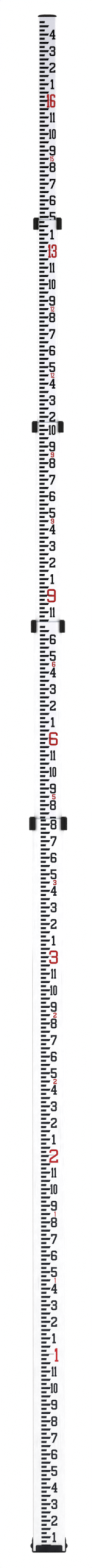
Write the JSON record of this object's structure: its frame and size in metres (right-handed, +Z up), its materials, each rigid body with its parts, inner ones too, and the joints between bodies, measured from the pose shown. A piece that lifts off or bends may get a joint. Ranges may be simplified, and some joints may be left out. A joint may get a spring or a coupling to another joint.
{
  "type": "leveling staff",
  "caption": "Telescoping leveling staff: nested coated aluminium tubes with a printed front scale, open-fronted joint collars, snap-button locks, riveted foot shoe and end cap.",
  "frame": {"origin": "centre of the foot shoe's underside, which is the zero of the scale", "axes": "+Z up along the staff, printed face towards -Y, +X to the right of a person reading the scale"},
  "size_m": [0.0586, 0.0408, 2.3574],
  "materials": {
    "tube_coat": "satin white coat",
    "scale_black": "printed ink",
    "scale_red": "printed ink",
    "collar_nylon": "moulded grain",
    "bush_nylon": "satin",
    "guide_nylon": "satin",
    "steel": "zinc plated",
    "cap_plastic": "moulded grain",
    "shoe_paint": "black paint",
    "pad_rubber": "matte"
  },
  "bodies": {
    "section_1": {"section_1_tube": "tube_coat", "joint_collar_1": "collar_nylon", "collar_screws_1": "steel", "mouth_bush_1": "bush_nylon", "foot_shoe": "shoe_paint", "foot_rivets": "shoe_paint", "foot_block": "guide_nylon", "foot_pad": "pad_rubber"},
    "section_2": {"section_2_tube": "tube_coat", "guide_block_2": "guide_nylon", "guide_pins_2": "steel", "lock_spring_2": "steel", "joint_collar_2": "collar_nylon", "collar_screws_2": "steel", "mouth_bush_2": "bush_nylon"},
    "button_2": {"lock_button_2": "steel"},
    "section_3": {"section_3_tube": "tube_coat", "guide_block_3": "guide_nylon", "guide_pins_3": "steel", "lock_spring_3": "steel", "joint_collar_3": "collar_nylon", "collar_screws_3": "steel", "mouth_bush_3": "bush_nylon"},
    "button_3": {"lock_button_3": "steel"},
    "section_4": {"section_4_tube": "tube_coat", "guide_block_4": "guide_nylon", "guide_pins_4": "steel", "lock_spring_4": "steel", "joint_collar_4": "collar_nylon", "collar_screws_4": "steel", "mouth_bush_4": "bush_nylon"},
    "button_4": {"lock_button_4": "steel"},
    "section_5": {"section_5_tube": "tube_coat", "guide_block_5": "guide_nylon", "guide_pins_5": "steel", "lock_spring_5": "steel", "top_cap": "cap_plastic"},
    "button_5": {"lock_button_5": "steel"}
  },
  "joints": [
    {"name": "section_2_slide", "type": "slide", "parent": "section_1", "child": "section_2", "axis": [0, 0, 1], "range_m": [-0.2806, 0.5798]},
    {"name": "section_3_slide", "type": "slide", "parent": "section_2", "child": "section_3", "axis": [0, 0, 1], "range_m": [-0.2856, 0.6951]},
    {"name": "section_4_slide", "type": "slide", "parent": "section_3", "child": "section_4", "axis": [0, 0, 1], "range_m": [-0.2919, 0.6911]},
    {"name": "section_5_slide", "type": "slide", "parent": "section_4", "child": "section_5", "axis": [0, 0, 1], "range_m": [-0.30615, 0.6842]},
    {"name": "button_2_press", "type": "slide", "parent": "section_2", "child": "button_2", "axis": [0, -1, 0], "range_m": [0, 0.002], "stiffness_N_per_m": 800, "springref_m": -0.004, "deforming": ["lock_spring_2"]},
    {"name": "button_3_press", "type": "slide", "parent": "section_3", "child": "button_3", "axis": [0, -1, 0], "range_m": [0, 0.002], "stiffness_N_per_m": 800, "springref_m": -0.004, "deforming": ["lock_spring_3"]},
    {"name": "button_4_press", "type": "slide", "parent": "section_4", "child": "button_4", "axis": [0, -1, 0], "range_m": [0, 0.002], "stiffness_N_per_m": 800, "springref_m": -0.004, "deforming": ["lock_spring_4"]},
    {"name": "button_5_press", "type": "slide", "parent": "section_5", "child": "button_5", "axis": [0, -1, 0], "range_m": [0, 0.002], "stiffness_N_per_m": 800, "springref_m": -0.004, "deforming": ["lock_spring_5"]}
  ]
}
